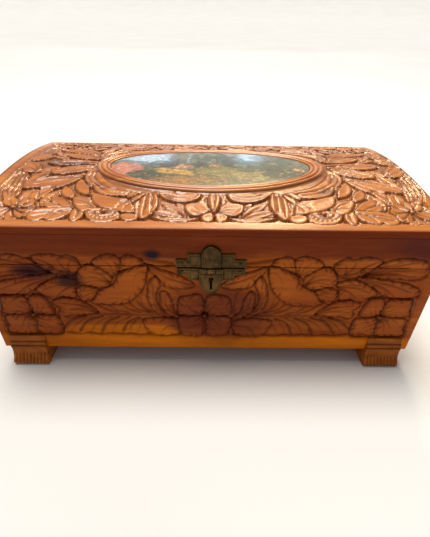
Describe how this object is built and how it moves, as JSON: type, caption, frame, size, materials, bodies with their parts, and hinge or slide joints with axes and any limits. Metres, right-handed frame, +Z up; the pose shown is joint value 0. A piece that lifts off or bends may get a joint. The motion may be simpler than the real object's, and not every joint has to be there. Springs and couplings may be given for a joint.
{
  "type": "carved wooden jewelry box",
  "caption": "Carved cedar jewelry box with tapered walls, a domed hinged lid, an oval picture under varnish, moulded feet and a brass box lock.",
  "frame": {"origin": "middle of the footprint, on the plane the four feet stand on", "axes": "+X to the right along the box's length, -Y to the front where the lock is, +Z up"},
  "size_m": [0.292, 0.176, 0.118],
  "materials": {
    "cedar_top": "carved, thick glossy varnish",
    "cedar_walls": "varnished, satin gloss",
    "foot_wood": "stained and varnished",
    "varnished_print": "glossy varnish over a printed landscape",
    "aged_brass": "stamped, tarnished olive brown",
    "hinge_brass": "dull, slightly tarnished",
    "lock_brass": "bright, unvarnished",
    "spring_steel": "blued spring steel",
    "steel_screws": "plain steel"
  },
  "bodies": {
    "case": {"body_back": "cedar_walls", "body_bottom": "cedar_walls", "body_end_left": "cedar_walls", "body_end_right": "cedar_walls", "body_front": "cedar_walls", "foot_back_left": "foot_wood", "foot_back_right": "foot_wood", "foot_front_left": "foot_wood", "foot_front_right": "foot_wood", "foot_screws": "steel_screws", "hinge_body_screws": "hinge_brass", "hinge_left_body_leaf": "hinge_brass", "hinge_left_pin": "hinge_brass", "hinge_right_body_leaf": "hinge_brass", "hinge_right_pin": "hinge_brass", "lock_case": "lock_brass", "lock_key_post": "lock_brass", "lock_pins": "aged_brass", "lock_plate": "aged_brass", "lock_spring": "spring_steel"},
    "lid": {"lid_front": "cedar_walls", "lid_back": "cedar_walls", "lid_end_left": "cedar_walls", "lid_end_right": "cedar_walls", "lid_top": "cedar_top", "picture_print": "varnished_print", "hinge_left_lid_leaf": "hinge_brass", "hinge_right_lid_leaf": "hinge_brass", "hinge_lid_screws": "hinge_brass", "catch_plate": "aged_brass", "catch_pins": "aged_brass", "catch_tongue": "lock_brass", "tongue_screws": "lock_brass"},
    "bolt": {"lock_bolt": "lock_brass"}
  },
  "joints": [
    {"name": "lid_hinge", "type": "hinge", "parent": "case", "child": "lid", "pos_m": [0, 0.08182, 0.083], "axis": [-1, 0, 0], "range_deg": [0, 97]},
    {"name": "lock_bolt_slide", "type": "slide", "parent": "case", "child": "bolt", "axis": [1, 0, 0], "range_m": [0, 0.0035]}
  ]
}
